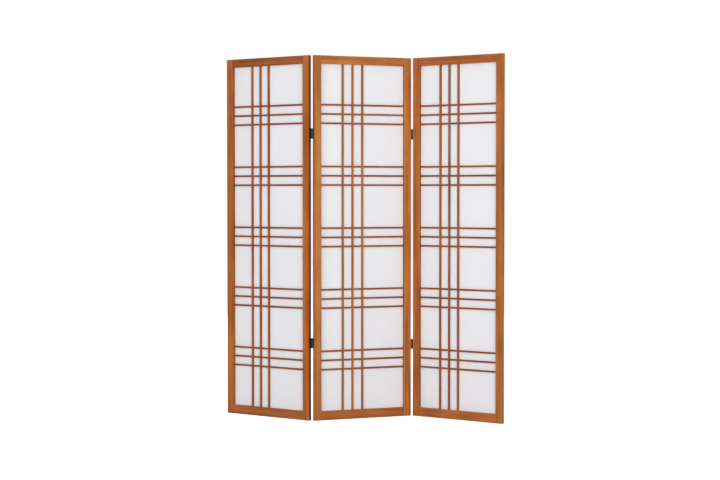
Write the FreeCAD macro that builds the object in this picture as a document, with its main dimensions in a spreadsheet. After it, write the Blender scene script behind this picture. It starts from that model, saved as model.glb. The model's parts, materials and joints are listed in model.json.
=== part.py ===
"""A folding screen of three shoji panels, hinged in a zigzag and standing free.

Each panel is drawn in its own frame: X runs along the panel from its left end, Y from the front face to the back
face, Z up from the floor. The panels are then turned about the hinge pins into the standing pose. The origin of the
whole screen is on the floor, under the middle of the centre panel, which is also the middle of its bounding box.
"""

import FreeCAD, Part
import math
import os
import re

import Sketcher

NODE_FOLDER = "parts"
PANELS = ("left", "centre", "right")
BANDS = 5
LEVELS_PER_BAND = 3
UPRIGHTS = 3
KNUCKLES = 5
LEAF_SCREWS = 3

# Driving sizes in millimetres, and one angle in degrees.
SIZES = {
    # Panel frame
    "panel_height": 1520,
    "panel_width": 438,
    "panel_thickness": 18,
    "stile_width": 32,
    "top_rail_height": 34,
    "bottom_rail_height": 37.5,
    "arris_radius": 1.5,
    # Mortise and tenon between rail and stile
    "tenon_length": 20,
    "tenon_thickness": 6,
    "tenon_setback": 4,
    "tenon_shoulder": 6,
    "joint_clearance": 0.1,
    # Lattice
    "upright_width": 8,
    "level_height": 7,
    "bar_depth": 7,
    "bar_recess": 8.5,
    "housing_depth": 4,
    "upright_pitch": 44,
    "level_pitch": 38.5,
    # From a rail to the middle of the first level bar
    "bottom_field": 173.5,
    "top_field": 169.5,
    # Paper and the beads that hold it in the rabbet
    "rabbet_width": 8,
    "paper_thickness": 0.5,
    "paper_margin": 0.5,
    "bead_clearance": 0.2,
    # From a stile's end to the middle of a hinge, named for the face that the hinge's pin is on
    "back_lower_inset": 323,
    "back_upper_inset": 324,
    "front_lower_inset": 307,
    "front_upper_inset": 322.5,
    # Butt hinge
    "fold_angle": 56.4,
    "end_gap": 3.6,
    "pin_offset": 3.5,
    "hinge_height": 42,
    "leaf_thickness": 1.2,
    "leaf_reach": 12.5,
    "knuckle_radius": 3.1,
    "knuckle_gap": 0.3,
    "pin_radius": 1.5,
    "pin_clearance": 0.15,
    "pin_head_radius": 2.4,
    "pin_head_height": 1.2,
    "pin_head_chamfer": 0.5,
    "screw_pitch": 14,
    "screw_inset": 6.5,
    "screw_head_radius": 2.9,
    "screw_shank_radius": 1.7,
    "pilot_radius": 1.1,
    "pilot_depth": 12,
    # How far a cutting tool runs past the surface that it opens
    "overcut": 1,
}

# Lines that several pieces share, worked out from the driving sizes.
LINES = {
    "window_right": "panel_width - stile_width",
    "window_top": "panel_height - top_rail_height",
    "window_width": "panel_width - 2 * stile_width",
    "window_height": "window_top - bottom_rail_height",
    "lattice_height": "window_height - bottom_field - top_field",
    "band_pitch": f"(lattice_height - {LEVELS_PER_BAND - 1} * level_pitch) / {BANDS - 1}",
    "lattice_back": "bar_recess + bar_depth",
    "lap_plane": "bar_recess + bar_depth / 2",
    "level_length": "window_width + 2 * housing_depth",
    "upright_length": "window_height + 2 * housing_depth",
    "rabbet_bottom": "bottom_rail_height - rabbet_width",
    "rabbet_height": "window_height + 2 * rabbet_width",
    "bead_thickness": "panel_thickness - lattice_back - paper_thickness",
    "bead_width": "rabbet_width - bead_clearance",
    "bead_left": "stile_width - bead_width",
    "bead_right": "window_right + bead_width",
    "bead_bottom": "bottom_rail_height - bead_width",
    "bead_top": "window_top + bead_width",
    "knuckle_length": f"(hinge_height - {KNUCKLES - 1} * knuckle_gap) / {KNUCKLES}",
    "leaf_start": "knuckle_radius + knuckle_gap",
    "back_lower_hinge": "back_lower_inset",
    "back_upper_hinge": "panel_height - back_upper_inset",
    "front_lower_hinge": "front_lower_inset",
    "front_upper_hinge": "panel_height - front_upper_inset",
}

doc = FreeCAD.newDocument("shoji_folding_screen")
sheet = doc.addObject("Spreadsheet::Sheet", "sizes")
for row, (alias, content) in enumerate({**SIZES, **LINES}.items(), 1):
    sheet.set(f"A{row}", alias)
    sheet.set(f"B{row}", f"={content}" if alias in LINES else str(content))
    sheet.setAlias(f"B{row}", alias)
doc.recompute()

subparts = []


def formula(text):
    """A formula in the sheet's words, with each word pointing at its cell."""
    return re.sub(r"[a-z]\w+", r"sizes.\g<0>", str(text))


def bind(thing, **formulas):
    """Tie properties of an object to formulas over the sheet."""
    for name, text in formulas.items():
        thing.setExpression(name, formula(text))


def finish(thing, label, placement):
    """Name a finished sub-part and put it where it stands."""
    thing.Label = label
    thing.Placement = placement
    subparts.append(thing)


# ---------------------------------------------------------------- sketches and features of a body


def sketch_on(body, role, distance):
    """A sketch on one of the body's own base planes, moved along the plane's normal."""
    plane = next(feature for feature in body.Origin.OriginFeatures if feature.Role == role)
    sketch = body.newObject("Sketcher::SketchObject", "sketch")
    sketch.AttachmentSupport = [(plane, "")]
    sketch.MapMode = "FlatFace"
    sketch.setExpression("AttachmentOffset.Base.z", formula(distance))
    return sketch


def hold(sketch, point, x, y):
    """Fix a point of the sketch at the distances x and y from the sketch's origin."""
    for kind, text in (("DistanceX", x), ("DistanceY", y)):
        index = sketch.addConstraint(Sketcher.Constraint(kind, -1, 1, *point, 1.0))
        sketch.setExpression(f"Constraints[{index}]", formula(text))


def polygon(sketch, corners):
    """A closed outline with a corner at each pair of formulas."""
    count = len(corners)
    first = sketch.GeometryCount
    start = [
        FreeCAD.Vector(math.cos(2 * math.pi * turn / count), math.sin(2 * math.pi * turn / count), 0)
        for turn in range(count)
    ]
    for index in range(count):
        sketch.addGeometry(Part.LineSegment(start[index], start[(index + 1) % count]))
    for index in range(count):
        following = first + (index + 1) % count
        sketch.addConstraint(Sketcher.Constraint("Coincident", first + index, 2, following, 1))
    for index, (x, y) in enumerate(corners):
        hold(sketch, (first + index, 1), x, y)


def rectangle(sketch, x, y, width, height):
    """A rectangle from its lower left corner."""
    right = f"{x} + {width}"
    top = f"{y} + {height}"
    polygon(sketch, [(x, y), (right, y), (right, top), (x, top)])


def circle(sketch, x, y, radius):
    """A circle round a point."""
    index = sketch.addGeometry(Part.Circle(FreeCAD.Vector(), FreeCAD.Vector(0, 0, 1), 1.0))
    hold(sketch, (index, 3), x, y)
    size = sketch.addConstraint(Sketcher.Constraint("Radius", index, 1.0))
    sketch.setExpression(f"Constraints[{size}]", formula(radius))


def pad(body, sketch, length):
    feature = body.newObject("PartDesign::Pad", "pad")
    feature.Profile = sketch
    bind(feature, Length=length)
    return feature


def pocket(body, sketch, depth, along_normal):
    """Cut the sketch into the body, along the plane's normal or against it."""
    feature = body.newObject("PartDesign::Pocket", "pocket")
    feature.Profile = sketch
    feature.Reversed = along_normal
    bind(feature, Length=depth)
    return feature


def round_long_edges(body, blank):
    """Ease the four long arrises of a straight blank."""
    doc.recompute()
    longest = max(edge.Length for edge in blank.Shape.Edges)
    names = [
        f"Edge{number}"
        for number, edge in enumerate(blank.Shape.Edges, 1)
        if math.isclose(edge.Length, longest)
    ]
    rounding = body.newObject("PartDesign::Fillet", "arrises")
    rounding.Base = (blank, names)
    bind(rounding, Radius="arris_radius")


# ---------------------------------------------------------------- plain solids


def block(x, y, z, length, width, height):
    """A box with its near corner at x, y, z."""
    box = doc.addObject("Part::Box", "block")
    bind(box, Length=length, Width=width, Height=height)
    place(box, x, y, z)
    return box


def place(thing, x, y, z):
    for axis, text in zip("xyz", (x, y, z)):
        thing.setExpression(f"Placement.Base.{axis}", formula(text))


def together(kind, solids):
    """Several solids as one object: a Part::Compound or a Part::MultiFuse."""
    group = doc.addObject(kind, "group")
    if kind == "Part::Compound":
        group.Links = solids
    else:
        group.Shapes = solids
    return group


def cut(base, tools):
    result = doc.addObject("Part::Cut", "cut")
    result.Base = base
    result.Tool = together("Part::Compound", tools)
    return result


# ---------------------------------------------------------------- where the lattice bars run


def upright_centre(number):
    """X of an upright bar: the last one is on the panel's centre line, the others to its left."""
    return f"(panel_width / 2 - {UPRIGHTS - 1 - number} * upright_pitch)"


def level_centre(band, number):
    """Z of a level bar: the bands share out the window's height evenly between the bottom and the top field."""
    return f"(bottom_rail_height + bottom_field + {band} * band_pitch + {number} * level_pitch)"


def level_centres():
    return [level_centre(band, number) for band in range(BANDS) for number in range(LEVELS_PER_BAND)]


def screw_steps():
    """Heights of a leaf's screws above its middle, in screw pitches."""
    return [number - (LEAF_SCREWS - 1) / 2 for number in range(LEAF_SCREWS)]


# ---------------------------------------------------------------- pieces of a panel


def make_stile(label, side, pin_face, placement):
    """An upright member of the frame.

    The inner face takes the rails' tenons, the level bars and the rabbet. pin_face is the face of the panel that a
    hinge pin stands off from at this end, "front" or "back", or None at a free end.
    """
    is_left = side == "left"
    near_x = "0" if is_left else "window_right"
    inner_x = "stile_width" if is_left else "window_right"
    outer_x = "0" if is_left else "panel_width"
    body = doc.addObject("PartDesign::Body", "stile")

    outline = sketch_on(body, "XY_Plane", 0)
    rectangle(outline, near_x, "0", "stile_width", "panel_thickness")
    blank = pad(body, outline, "panel_height")
    round_long_edges(body, blank)

    rabbet = sketch_on(body, "YZ_Plane", inner_x)
    rectangle(rabbet, "lattice_back", "rabbet_bottom", "panel_thickness", "rabbet_height")
    pocket(body, rabbet, "rabbet_width", not is_left)

    housings = sketch_on(body, "YZ_Plane", inner_x)
    for centre in level_centres():
        rectangle(
            housings,
            "bar_recess - joint_clearance",
            f"{centre} - level_height / 2 - joint_clearance",
            "bar_depth + joint_clearance + overcut",
            "level_height + 2 * joint_clearance",
        )
    pocket(body, housings, "housing_depth + joint_clearance", not is_left)

    mortises = sketch_on(body, "YZ_Plane", inner_x)
    for rail_foot, rail_height in (("0", "bottom_rail_height"), ("window_top", "top_rail_height")):
        rectangle(
            mortises,
            "tenon_setback - joint_clearance",
            f"{rail_foot} + tenon_shoulder - joint_clearance",
            "tenon_thickness + 2 * joint_clearance",
            f"{rail_height} - 2 * tenon_shoulder + 2 * joint_clearance",
        )
    pocket(body, mortises, "tenon_length + joint_clearance", not is_left)

    if pin_face:
        pilot_y = "screw_inset" if pin_face == "front" else "panel_thickness - screw_inset"
        pilots = sketch_on(body, "YZ_Plane", outer_x)
        for level in ("lower", "upper"):
            for step in screw_steps():
                circle(pilots, pilot_y, f"{pin_face}_{level}_hinge + {step} * screw_pitch", "pilot_radius")
        pocket(body, pilots, "pilot_depth", is_left)

    finish(body, label, placement)


def make_rail(label, end, placement):
    """A level member of the frame with a stub tenon at both ends."""
    is_bottom = end == "bottom"
    foot = "0" if is_bottom else "window_top"
    height = "bottom_rail_height" if is_bottom else "top_rail_height"
    inner_z = "bottom_rail_height" if is_bottom else "window_top"
    body = doc.addObject("PartDesign::Body", "rail")

    outline = sketch_on(body, "YZ_Plane", "stile_width")
    rectangle(outline, "0", foot, "panel_thickness", height)
    blank = pad(body, outline, "window_width")
    round_long_edges(body, blank)

    tenons = sketch_on(body, "YZ_Plane", "stile_width - tenon_length")
    rectangle(tenons, "tenon_setback", f"{foot} + tenon_shoulder", "tenon_thickness", f"{height} - 2 * tenon_shoulder")
    pad(body, tenons, "window_width + 2 * tenon_length")

    rabbet = sketch_on(body, "XY_Plane", inner_z)
    rectangle(rabbet, "stile_width - overcut", "lattice_back", "window_width + 2 * overcut", "panel_thickness")
    pocket(body, rabbet, "rabbet_width", not is_bottom)

    housings = sketch_on(body, "XY_Plane", inner_z)
    for number in range(UPRIGHTS):
        rectangle(
            housings,
            f"{upright_centre(number)} - upright_width / 2 - joint_clearance",
            "bar_recess - joint_clearance",
            "upright_width + 2 * joint_clearance",
            "bar_depth + joint_clearance + overcut",
        )
    pocket(body, housings, "housing_depth + joint_clearance", not is_bottom)

    finish(body, label, placement)


def make_uprights(label, placement):
    """The upright lattice bars. Each is notched from behind where it crosses a level bar."""
    bars = [
        block(
            f"{upright_centre(number)} - upright_width / 2",
            "bar_recess",
            "bottom_rail_height - housing_depth",
            "upright_width",
            "bar_depth",
            "upright_length",
        )
        for number in range(UPRIGHTS)
    ]
    notches = [
        block(
            "stile_width",
            "lap_plane",
            f"{centre} - level_height / 2 - joint_clearance",
            "window_width",
            "bar_depth",
            "level_height + 2 * joint_clearance",
        )
        for centre in level_centres()
    ]
    finish(cut(together("Part::Compound", bars), notches), label, placement)


def make_band(label, band, placement):
    """A band of level lattice bars. Each is notched from the front where it crosses an upright bar."""
    bars = [
        block(
            "stile_width - housing_depth",
            "bar_recess",
            f"{level_centre(band, number)} - level_height / 2",
            "level_length",
            "bar_depth",
            "level_height",
        )
        for number in range(LEVELS_PER_BAND)
    ]
    notches = [
        block(
            f"{upright_centre(number)} - upright_width / 2 - joint_clearance",
            "lap_plane - bar_depth",
            "bottom_rail_height",
            "upright_width + 2 * joint_clearance",
            "bar_depth",
            "window_height",
        )
        for number in range(UPRIGHTS)
    ]
    finish(cut(together("Part::Compound", bars), notches), label, placement)


def make_paper(label, placement):
    """The sheet behind the lattice, a little smaller than the rabbet that it lies in."""
    body = doc.addObject("PartDesign::Body", "paper")
    outline = sketch_on(body, "XY_Plane", "rabbet_bottom + paper_margin")
    rectangle(
        outline,
        "stile_width - rabbet_width + paper_margin",
        "lattice_back",
        "window_width + 2 * rabbet_width - 2 * paper_margin",
        "paper_thickness",
    )
    pad(body, outline, "rabbet_height - 2 * paper_margin")
    finish(body, label, placement)


def make_beads(panel, placement):
    """Four mitred strips that fill the rabbet behind the paper."""
    outer = [
        ("bead_left", "bead_bottom"),
        ("bead_right", "bead_bottom"),
        ("bead_right", "bead_top"),
        ("bead_left", "bead_top"),
    ]
    inner = [
        ("stile_width", "bottom_rail_height"),
        ("window_right", "bottom_rail_height"),
        ("window_right", "window_top"),
        ("stile_width", "window_top"),
    ]
    for index, side in enumerate(("bottom", "right", "top", "left")):
        following = (index + 1) % len(outer)
        body = doc.addObject("PartDesign::Body", "bead")
        outline = sketch_on(body, "XZ_Plane", "-(lattice_back + paper_thickness + bead_thickness)")
        polygon(outline, [outer[index], outer[following], inner[following], inner[index]])
        pad(body, outline, "bead_thickness")
        finish(body, f"{panel}_bead_{side}", placement)


# ---------------------------------------------------------------- hinges


def make_leaf(label, is_centre_leaf, placement):
    """One half of a butt hinge.

    It is drawn with the pin on the Z axis and the wood at positive Y. The leaf of the centre panel lies at negative
    X and has the odd knuckles, the leaf of the outer panel lies at positive X and has the even ones.
    """
    side = -1 if is_centre_leaf else 1
    plate_x = "-end_gap / 2" if is_centre_leaf else "end_gap / 2 - leaf_thickness"
    half_height = "hinge_height / 2"
    solids = [
        block(
            plate_x,
            "leaf_start",
            f"-{half_height}",
            "leaf_thickness",
            "pin_offset + leaf_reach - leaf_start",
            "hinge_height",
        )
    ]
    for number in range(0 if is_centre_leaf else 1, KNUCKLES, 2):
        foot = f"-{half_height} + {number} * (knuckle_length + knuckle_gap)"
        barrel = doc.addObject("Part::Cylinder", "barrel")
        bind(barrel, Radius="knuckle_radius", Height="knuckle_length")
        place(barrel, "0", "0", foot)
        tongue = block(plate_x, "0", foot, "leaf_thickness", "leaf_start", "knuckle_length")
        solids += [barrel, tongue]

    bore = doc.addObject("Part::Cylinder", "bore")
    bind(bore, Radius="pin_radius + pin_clearance", Height="hinge_height + 2 * overcut")
    place(bore, "0", "0", f"-{half_height} - overcut")
    openings = [bore]
    for step in screw_steps():
        countersink = doc.addObject("Part::Cone", "countersink")
        bind(countersink, Radius1="screw_head_radius", Radius2="screw_shank_radius", Height="leaf_thickness")
        countersink.Placement.Rotation = FreeCAD.Rotation(FreeCAD.Vector(0, 1, 0), 90 * side)
        place(
            countersink,
            f"{side} * (end_gap / 2 - leaf_thickness)",
            "pin_offset + screw_inset",
            f"{step} * screw_pitch",
        )
        openings.append(countersink)
    finish(cut(together("Part::MultiFuse", solids), openings), label, placement)


def make_pin(label, placement):
    """The hinge pin with a chamfered button at each end."""
    half_shank = "(hinge_height / 2 + pin_clearance)"
    half_length = f"({half_shank} + pin_head_height)"
    profile = [
        ("0", f"-{half_length}"),
        ("pin_head_radius - pin_head_chamfer", f"-{half_length}"),
        ("pin_head_radius", f"-{half_length} + pin_head_chamfer"),
        ("pin_head_radius", f"-{half_shank}"),
        ("pin_radius", f"-{half_shank}"),
        ("pin_radius", half_shank),
        ("pin_head_radius", half_shank),
        ("pin_head_radius", f"{half_length} - pin_head_chamfer"),
        ("pin_head_radius - pin_head_chamfer", half_length),
        ("0", half_length),
    ]
    body = doc.addObject("PartDesign::Body", "pin")
    outline = sketch_on(body, "XZ_Plane", 0)
    polygon(outline, profile)
    turning = body.newObject("PartDesign::Revolution", "turning")
    turning.Profile = outline
    turning.ReferenceAxis = (outline, ["V_Axis"])
    turning.Angle = 360
    finish(body, label, placement)


# ---------------------------------------------------------------- the standing pose


def turned(angle, held_point, target):
    """The placement that turns by an angle about Z and brings held_point to the target."""
    rotation = FreeCAD.Rotation(FreeCAD.Vector(0, 0, 1), angle)
    return FreeCAD.Placement(target - rotation.multVec(held_point), rotation)


def panel_pins():
    """The hinge pins in a panel's own frame: behind its back face or before its front face, past either end."""
    beyond = SIZES["end_gap"] / 2
    behind = SIZES["panel_thickness"] + SIZES["pin_offset"]
    before = -SIZES["pin_offset"]
    far_end = SIZES["panel_width"] + beyond
    return {
        ("left", "back"): FreeCAD.Vector(-beyond, behind, 0),
        ("right", "back"): FreeCAD.Vector(far_end, behind, 0),
        ("left", "front"): FreeCAD.Vector(-beyond, before, 0),
        ("right", "front"): FreeCAD.Vector(far_end, before, 0),
    }


def panel_placements():
    """Neighbouring panels stand at the fold angle, the centre panel turned one way and the outer ones the other."""
    half_fold = SIZES["fold_angle"] / 2
    pins = panel_pins()
    middle = FreeCAD.Vector(SIZES["panel_width"] / 2, SIZES["panel_thickness"] / 2, 0)
    centre = turned(half_fold, middle, FreeCAD.Vector())
    left_pin = centre.multVec(pins["left", "back"])
    right_pin = centre.multVec(pins["right", "front"])
    return {
        "left": turned(-half_fold, pins["right", "back"], left_pin),
        "centre": centre,
        "right": turned(-half_fold, pins["left", "front"], right_pin),
    }


# The left joint folds about a pin behind the panels, the right joint about one in front of them.
PIN_FACES = {
    ("left", "left"): None,
    ("left", "right"): "back",
    ("centre", "left"): "back",
    ("centre", "right"): "front",
    ("right", "left"): "front",
    ("right", "right"): None,
}


def make_panel(panel, placement):
    for side in ("left", "right"):
        make_stile(f"{panel}_stile_{side}", side, PIN_FACES[panel, side], placement)
    for end in ("top", "bottom"):
        make_rail(f"{panel}_rail_{end}", end, placement)
    make_uprights(f"{panel}_lattice_uprights", placement)
    for band in range(BANDS):
        make_band(f"{panel}_lattice_band_{band + 1}", band, placement)
    make_paper(f"{panel}_paper", placement)
    make_beads(panel, placement)


def make_hinges(joint, placements):
    """The lower and the upper hinge between the centre panel and its left or right neighbour."""
    pins = panel_pins()
    face = PIN_FACES["centre", joint]
    far_side = "right" if joint == "left" else "left"
    facing = FreeCAD.Rotation(FreeCAD.Vector(0, 0, 1), 180 if face == "back" else 0)
    for level in ("lower", "upper"):
        lift = FreeCAD.Vector(0, 0, sheet.get(f"{face}_{level}_hinge"))
        on_centre = placements["centre"] * FreeCAD.Placement(pins[joint, face] + lift, facing)
        on_outer = placements[joint] * FreeCAD.Placement(pins[far_side, face] + lift, facing)
        name = f"hinge_{joint}_{level}"
        make_leaf(f"{name}_leaf_centre", True, on_centre)
        make_leaf(f"{name}_leaf_outer", False, on_outer)
        make_pin(f"{name}_pin", on_centre)


def check_model():
    """Stop if anything failed to build, or if a pocket removed nothing."""
    for thing in doc.Objects:
        if {"Invalid", "Error"} & set(thing.State):
            raise RuntimeError(f"{thing.Label} failed: {thing.State}")
        if thing.TypeId == "PartDesign::Pocket" and thing.Shape.Volume >= thing.BaseFeature.Shape.Volume:
            raise RuntimeError(f"{thing.Label} of {thing.getParentGeoFeatureGroup().Label} cuts nothing")
    for thing in subparts:
        if thing.Shape.isNull() or not thing.Shape.isValid():
            raise RuntimeError(f"{thing.Label} has no valid shape")


placements = panel_placements()
for panel in PANELS:
    make_panel(panel, placements[panel])
for joint in ("left", "right"):
    make_hinges(joint, placements)
doc.recompute()
check_model()

os.makedirs(NODE_FOLDER, exist_ok=True)
for thing in subparts:
    thing.Shape.exportStep(os.path.join(NODE_FOLDER, f"{thing.Label}.step"))
pins = panel_pins()
for joint, face in (("left", "back"), ("right", "front")):
    print(f"{joint} pin at", placements["centre"].multVec(pins[joint, face]))
print(len(subparts), "sub-parts,", sum(len(thing.Shape.Solids) for thing in subparts), "solids")
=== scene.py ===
# %% [markdown]
# # A shoji folding screen
# Three light wooden frames stand in a zigzag. Each holds a lattice of thin bars, and behind the lattice a
# sheet of translucent paper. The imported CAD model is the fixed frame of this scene: every solid is
# already in its real place, in metres. What is left to do here is what the eye notices next: stained and
# lacquered wood, paper with fibres in it, black hinges, small screws and pins, soft light.

import json
import math

import bpy
from mathutils import Matrix, Vector

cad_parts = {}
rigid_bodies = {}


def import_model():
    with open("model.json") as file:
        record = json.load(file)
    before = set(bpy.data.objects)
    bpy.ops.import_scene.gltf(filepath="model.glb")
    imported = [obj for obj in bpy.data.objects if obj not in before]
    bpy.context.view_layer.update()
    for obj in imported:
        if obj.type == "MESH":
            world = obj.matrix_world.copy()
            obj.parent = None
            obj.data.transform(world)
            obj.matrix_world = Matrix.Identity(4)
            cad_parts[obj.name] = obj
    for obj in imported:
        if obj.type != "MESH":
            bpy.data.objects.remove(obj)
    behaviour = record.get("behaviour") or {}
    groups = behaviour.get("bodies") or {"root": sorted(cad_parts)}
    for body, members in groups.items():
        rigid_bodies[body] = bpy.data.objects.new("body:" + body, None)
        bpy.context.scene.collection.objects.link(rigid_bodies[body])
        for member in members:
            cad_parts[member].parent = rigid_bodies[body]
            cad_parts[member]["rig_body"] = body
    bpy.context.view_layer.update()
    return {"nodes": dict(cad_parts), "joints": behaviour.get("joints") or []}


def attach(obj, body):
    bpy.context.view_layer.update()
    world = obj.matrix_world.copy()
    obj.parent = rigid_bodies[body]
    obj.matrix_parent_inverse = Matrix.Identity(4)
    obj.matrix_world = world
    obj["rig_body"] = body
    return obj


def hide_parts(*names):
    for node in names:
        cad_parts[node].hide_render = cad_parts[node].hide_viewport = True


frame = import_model()
nodes = frame["nodes"]
scene = bpy.context.scene

# %% [markdown]
# ## Where the panels stand
# A panel is drawn most easily lying along X, with its lower left front corner at the origin. Two turns
# and two hinge pins say how it gets from there to its place in the zigzag. The pins and the fold are in
# the record, so they are read from it and not typed in again.

# %% The three placements
MM = 0.001
PANEL = {"width": 438 * MM, "height": 1520 * MM, "thickness": 18 * MM}
END_GAP = 3.6 * MM
PIN_OFFSET = 3.5 * MM

joints = {joint["name"]: joint for joint in frame["joints"]}
half_fold = math.radians(-joints["left_fold"]["range_deg"][0]) / 2
turns = {"left_panel": -half_fold, "centre_panel": half_fold, "right_panel": -half_fold}


def placement(turn, corner_point, target):
    """Turns about Z, then moves so that corner_point of the panel comes to the target."""
    turned = Matrix.Rotation(turn, 4, "Z")
    return Matrix.Translation(target - turned @ corner_point) @ turned


def floor_point(joint_name):
    """The foot of a joint's pin, on the floor."""
    x, y, _ = joints[joint_name]["pos_m"]
    return Vector((x, y, 0))


middle = Vector((PANEL["width"] / 2, PANEL["thickness"] / 2, 0))
behind_right_end = Vector((PANEL["width"] + END_GAP / 2, PANEL["thickness"] + PIN_OFFSET, 0))
before_left_end = Vector((-END_GAP / 2, -PIN_OFFSET, 0))
places = {
    "left_panel": placement(turns["left_panel"], behind_right_end, floor_point("left_fold")),
    "centre_panel": placement(turns["centre_panel"], middle, Vector()),
    "right_panel": placement(turns["right_panel"], before_left_end, floor_point("right_fold")),
}
for body, place in places.items():
    print(body, "turned", round(math.degrees(turns[body]), 1), "degrees, corner at", place.translation)

# %% [markdown]
# ## The camera
# The photograph is taken from a little right of the middle, at waist height, with a telephoto lens from
# nearly seven metres. A long lens from far away keeps the three panels almost the same height. The place,
# the turns and the focal length were found by fitting this camera to the corners of the panels in the
# photograph.

# %% Camera
CAMERA_POINT = Vector((0.780, -6.747, 0.946))
CAMERA_YAW = math.radians(6.683)
CAMERA_PITCH = math.radians(-1.642)
FOCAL_PIXELS = 1615
PICTURE_WIDTH = 720
SENSOR_WIDTH = 36

camera_data = bpy.data.cameras.new("camera")
camera_data.sensor_width = SENSOR_WIDTH
camera_data.lens = FOCAL_PIXELS * SENSOR_WIDTH / PICTURE_WIDTH
camera = bpy.data.objects.new("camera", camera_data)
camera.location = CAMERA_POINT
camera.rotation_euler = (math.pi / 2 + CAMERA_PITCH, 0, CAMERA_YAW)
scene.collection.objects.link(camera)
scene.camera = camera
print("lens", round(camera_data.lens, 1), "mm")

# %% [markdown]
# ## Helpers for node trees
# Materials and Geometry Nodes are both trees of nodes and links. Three small helpers keep the cells below
# short: one makes a node, one links, one makes a group with named sockets.


# %% Node helpers
def add(tree, kind, **settings):
    """A node of a kind, with its properties set by name."""
    node = tree.nodes.new(kind)
    for name, value in settings.items():
        setattr(node, name, value)
    return node


def wire(tree, source, target):
    """A link from an output socket to an input socket, or a plain value for the input."""
    if isinstance(source, bpy.types.NodeSocket):
        tree.links.new(source, target)
    else:
        target.default_value = source


def math_node(tree, operation, first, second=0.0, third=0.0):
    """A number worked out from others."""
    node = add(tree, "ShaderNodeMath", operation=operation)
    for value, socket in zip((first, second, third), node.inputs):
        wire(tree, value, socket)
    return node.outputs[0]


def group_tree(name, kind, inputs, outputs):
    """A node group whose sockets are listed as (name, type, default)."""
    tree = bpy.data.node_groups.new(name, kind)
    for label, socket_type, default in inputs:
        socket = tree.interface.new_socket(name=label, in_out="INPUT", socket_type=socket_type)
        if default is not None:
            socket.default_value = default
    for label, socket_type in outputs:
        tree.interface.new_socket(name=label, in_out="OUTPUT", socket_type=socket_type)
    return tree


def place_group(tree, group, **values):
    """A group used inside another tree, with some of its inputs set."""
    node = add(tree, "ShaderNodeGroup", node_tree=group)
    for name, value in values.items():
        wire(tree, value, node.inputs[name.replace("_", " ")])
    return node


# %% [markdown]
# ## Stained wood
# The frames are a pale, straight-grained softwood under a honey-brown stain and a satin lacquer. Up close
# that is three things: long fibres, a few of them darker; slow bands where the stain soaked in more;
# short open pores. All three run along the member, so the group first turns the point into the panel's
# own axes, and then squeezes the pattern along the member. Wide soft clouds in the tone of the whole
# board come on top. The last thing is painted shade on the sides of a member: they are darkened beside
# its face, most on the bars and on the two sides that face each other in the shaded gap of the left
# joint. The surface normal tells side from face, once it is turned back in the same way. One group
# serves every member: only its turn, its direction and its tint change.

# %% Wood grain group
WOOD_INPUTS = [
    ("Turn", "NodeSocketFloat", 0.0),
    ("Lengthwise", "NodeSocketVector", (1.0, 1.0, 1.0)),
    ("Seed", "NodeSocketFloat", 0.0),
    ("Shade", "NodeSocketVector", (1.0, 1.0, 1.0)),
    # Painted shade on a member's sides: their colour is scaled by this
    ("Side Shade", "NodeSocketFloat", 0.7),
    ("Light Tone", "NodeSocketColor", (0.43, 0.15, 0.045, 1.0)),
    ("Dark Tone", "NodeSocketColor", (0.28, 0.085, 0.022, 1.0)),
]
FINISH_OUTPUTS = [
    ("Color", "NodeSocketColor"),
    ("Roughness", "NodeSocketFloat"),
    ("Height", "NodeSocketFloat"),
]
# Noise: scale, detail, roughness, distortion. Mask: where it starts and is full. Soak: the stain it takes.
GRAIN = {
    "bands": {"noise": (75.0, 2, 0.5, 0.6), "mask": (0.35, 0.65), "soak": 0.55},
    "fibres": {"noise": (900.0, 3, 0.6, 0.0), "mask": (0.3, 0.7), "soak": 0.3},
    "clouds": {"noise": (9.0, 2, 0.5, 0.0), "mask": (0.3, 0.7), "soak": 0.25},
    "pores": {"noise": (1500.0, 1, 0.5, 0.0), "mask": (0.66, 0.74), "soak": 0.45},
}
# A face turns from a front into a side of its member between these lengths of its normal across the panel
SIDE_MASK = (0.75, 0.95)
# The stain that leaves the lacquer at its smoothest and at its roughest
SOAK_RANGE = (0.1, 1.1)
WOOD_ROUGHNESS = (0.38, 0.52)
FIBRE_RELIEF = 0.35

wood = group_tree("stained wood", "ShaderNodeTree", WOOD_INPUTS, FINISH_OUTPUTS)
given = add(wood, "NodeGroupInput")
result = add(wood, "NodeGroupOutput")
coordinates = add(wood, "ShaderNodeTexCoord").outputs


def in_panel_axes(vector):
    """A point or a normal, turned back by the panel's turn."""
    node = add(wood, "ShaderNodeVectorRotate", rotation_type="Z_AXIS")
    wire(wood, vector, node.inputs["Vector"])
    wire(wood, given.outputs["Turn"], node.inputs["Angle"])
    return node.outputs[0]


point = in_panel_axes(coordinates["Object"])
squeeze = add(wood, "ShaderNodeVectorMath", operation="MULTIPLY")
wire(wood, point, squeeze.inputs[0])
wire(wood, given.outputs["Lengthwise"], squeeze.inputs[1])
along = squeeze.outputs[0]


def noise(tree, vector, scale, detail, roughness, distortion=0.0, seed=None):
    """A 4D noise: the fourth number only picks another piece of the same wood."""
    node = add(tree, "ShaderNodeTexNoise", noise_dimensions="4D")
    wire(tree, vector, node.inputs["Vector"])
    wire(tree, 0.0 if seed is None else seed, node.inputs["W"])
    settings = {"Scale": scale, "Detail": detail, "Roughness": roughness, "Distortion": distortion}
    for name, value in settings.items():
        node.inputs[name].default_value = value
    return node.outputs["Fac"]


def stretch(tree, value, low, high, to_low=0.0, to_high=1.0):
    """Maps low..high to another range and stops at its ends."""
    node = add(tree, "ShaderNodeMapRange", clamp=True)
    settings = {"Value": value, "From Min": low, "From Max": high, "To Min": to_low, "To Max": to_high}
    for name, number in settings.items():
        wire(tree, number, node.inputs[name])
    return node.outputs["Result"]


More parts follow.
